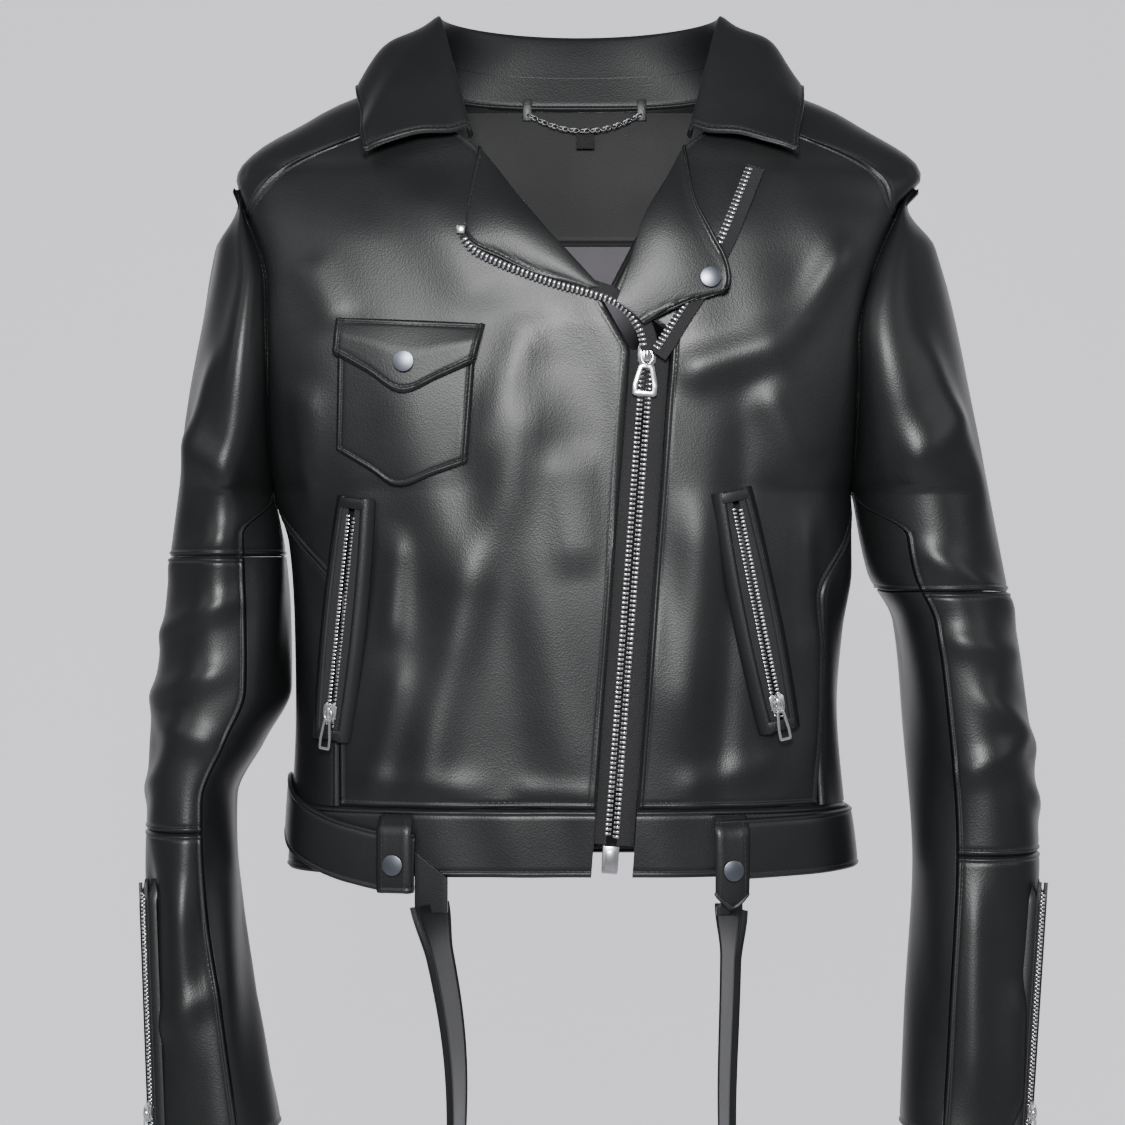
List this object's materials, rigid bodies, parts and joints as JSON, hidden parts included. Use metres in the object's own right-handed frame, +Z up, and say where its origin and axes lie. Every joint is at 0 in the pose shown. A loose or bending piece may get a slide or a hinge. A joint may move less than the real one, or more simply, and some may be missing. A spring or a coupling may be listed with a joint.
{
  "type": "leather riding jacket",
  "caption": "Black cropped faux-leather riding jacket, hanging empty: slanted front zip, snap-down lapel, flap pocket, zipped hand pockets and cuffs, turned-down collar, and a strap belt.",
  "frame": {"origin": "hook space at the back of the neck, just above the seat of the hang chain and level with the neck seam", "axes": "+Z up along the hanging jacket, the front faces -Y, +X to the wearer's left"},
  "size_m": [0.5691, 0.1622, 0.7801],
  "materials": {
    "leather": "semi-gloss black faux leather with a fine grain",
    "leather_edge": "matt black backing and facing",
    "lining": "dark purplish grey satin lining",
    "tape": "black woven zip tape",
    "bright_metal": "bright nickel zip teeth, sliders, pullers and chain",
    "snap_metal": "grey nickel snap caps"
  },
  "bodies": {
    "jacket": {"back_panel": "leather", "back_yoke": "leather", "front_panel_right": "leather", "front_panel_left": "leather", "front_yoke_right": "leather", "front_yoke_left": "leather", "side_panel_right": "leather", "side_panel_left": "leather", "hem_band_right": "leather", "hem_band_left": "leather", "hem_band_back": "leather", "back_facing": "leather_edge", "lining_back": "lining", "collar_stand": "leather", "collar_fall": "leather", "lapel_right": "leather", "neck_label": "leather_edge", "zip_tape_right": "tape", "zip_tape_left": "tape", "zip_teeth": "bright_metal", "zip_stops": "bright_metal", "chest_pocket": "leather", "snap_studs": "snap_metal", "pocket_welt_right": "leather", "pocket_welt_left": "leather", "pocket_zip_right": "bright_metal", "pocket_zip_left": "bright_metal", "pocket_bags": "lining", "belt_strap": "leather", "upper_sleeve_right": "leather", "upper_sleeve_left": "leather", "under_sleeve_right": "leather", "under_sleeve_left": "leather"},
    "main_slider_body": {"main_slider": "bright_metal"},
    "main_puller_body": {"main_puller": "bright_metal"},
    "flap_body": {"chest_flap": "leather", "flap_snap_cap": "snap_metal"},
    "lapel_body": {"lapel_left": "leather", "lapel_snap_cap": "snap_metal"},
    "chain_body": {"hang_chain": "bright_metal"},
    "pocket_slider_right_body": {"pocket_slider_right": "bright_metal"},
    "pocket_puller_right_body": {"pocket_puller_right": "bright_metal"},
    "cuff_slider_right_body": {"cuff_slider_right": "bright_metal"},
    "cuff_puller_right_body": {"cuff_puller_right": "bright_metal"},
    "keeper_right_body": {"keeper_right": "leather"},
    "belt_tail_right_body": {"belt_tail_right": "leather"},
    "forearm_right_body": {"elbow_panel_right": "leather", "forearm_right": "leather", "under_forearm_right": "leather", "cuff_zip_right": "bright_metal"},
    "pocket_slider_left_body": {"pocket_slider_left": "bright_metal"},
    "pocket_puller_left_body": {"pocket_puller_left": "bright_metal"},
    "cuff_slider_left_body": {"cuff_slider_left": "bright_metal"},
    "cuff_puller_left_body": {"cuff_puller_left": "bright_metal"},
    "keeper_left_body": {"keeper_left": "leather"},
    "belt_tail_left_body": {"belt_tail_left": "leather"},
    "forearm_left_body": {"elbow_panel_left": "leather", "forearm_left": "leather", "under_forearm_left": "leather", "cuff_zip_left": "bright_metal"}
  },
  "joints": [
    {"name": "main_zip", "type": "slide", "parent": "jacket", "child": "main_slider_body", "axis": [-0.0729, 0, -0.9973], "range_m": [0, 0.288]},
    {"name": "main_puller_swing", "type": "hinge", "parent": "main_slider_body", "child": "main_puller_body", "pos_m": [0.041, -0.1098, -0.169], "axis": [-0.9973, 0, 0.0729], "range_deg": [0, 140]},
    {"name": "pocket_zip_right_slide", "type": "slide", "parent": "jacket", "child": "pocket_slider_right_body", "axis": [0.1059, -0.0691, 0.992], "range_m": [0, 0.115]},
    {"name": "pocket_puller_right_swing", "type": "hinge", "parent": "pocket_slider_right_body", "child": "pocket_puller_right_body", "pos_m": [-0.15554, -0.09501, -0.38931], "axis": [-0.9038, 0.4092, 0.125], "range_deg": [0, 120]},
    {"name": "pocket_zip_left_slide", "type": "slide", "parent": "jacket", "child": "pocket_slider_left_body", "axis": [-0.202, -0.0655, 0.9772], "range_m": [0, 0.115]},
    {"name": "pocket_puller_left_swing", "type": "hinge", "parent": "pocket_slider_left_body", "child": "pocket_puller_left_body", "pos_m": [0.12162, -0.10395, -0.38313], "axis": [-0.9476, -0.2392, -0.2119], "range_deg": [0, 120]},
    {"name": "cuff_zip_right_slide", "type": "slide", "parent": "forearm_right_body", "child": "cuff_slider_right_body", "axis": [-0.054, 0.1185, 0.9915], "range_m": [0, 0.118]},
    {"name": "cuff_puller_right_swing", "type": "hinge", "parent": "cuff_slider_right_body", "child": "cuff_puller_right_body", "pos_m": [-0.26751, -0.09995, -0.6348], "axis": [-0.4542, 0.8814, -0.13], "range_deg": [0, 120]},
    {"name": "elbow_right_bend", "type": "hinge", "parent": "jacket", "child": "forearm_right_body", "pos_m": [0, -0.038, -0.33], "axis": [-1, 0, 0], "range_deg": [0, 50]},
    {"name": "keeper_right_lift", "type": "hinge", "parent": "jacket", "child": "keeper_right_body", "pos_m": [-0.11398, -0.10556, -0.45197], "axis": [-0.9764, 0.2159, 0.0008], "range_deg": [0, 95]},
    {"name": "belt_tail_right_swing", "type": "hinge", "parent": "jacket", "child": "belt_tail_right_body", "pos_m": [-0.0883, -0.10807, -0.512], "axis": [-1, 0, 0], "range_deg": [-30, 30]},
    {"name": "cuff_zip_left_slide", "type": "slide", "parent": "forearm_left_body", "child": "cuff_slider_left_body", "axis": [0.0856, 0.1162, 0.9895], "range_m": [0, 0.118]},
    {"name": "cuff_puller_left_swing", "type": "hinge", "parent": "cuff_slider_left_body", "child": "cuff_puller_left_body", "pos_m": [0.27937, -0.10095, -0.6346], "axis": [-0.5205, -0.8416, 0.1438], "range_deg": [0, 120]},
    {"name": "elbow_left_bend", "type": "hinge", "parent": "jacket", "child": "forearm_left_body", "pos_m": [0, -0.038, -0.346], "axis": [-1, 0, 0], "range_deg": [0, 50]},
    {"name": "keeper_left_lift", "type": "hinge", "parent": "jacket", "child": "keeper_left_body", "pos_m": [0.09282, -0.10822, -0.45195], "axis": [-0.9837, -0.18, -0.0013], "range_deg": [0, 95]},
    {"name": "belt_tail_left_swing", "type": "hinge", "parent": "jacket", "child": "belt_tail_left_body", "pos_m": [0.09139, -0.10663, -0.514], "axis": [-1, 0, 0], "range_deg": [-30, 30]},
    {"name": "chest_flap_lift", "type": "hinge", "parent": "jacket", "child": "flap_body", "pos_m": [-0.10409, -0.11461, -0.14655], "axis": [-0.9971, 0.0627, 0.043], "range_deg": [0, 100]},
    {"name": "lapel_left_lift", "type": "hinge", "parent": "jacket", "child": "lapel_body", "pos_m": [0.04422, -0.10951, -0.08935], "axis": [-0.4118, -0.1841, -0.8925], "range_deg": [0, 60]},
    {"name": "hang_chain_swing", "type": "hinge", "parent": "jacket", "child": "chain_body", "pos_m": [0.0035, -0.00545, -0.003], "axis": [-1, 0, 0], "range_deg": [0, 60]}
  ]
}
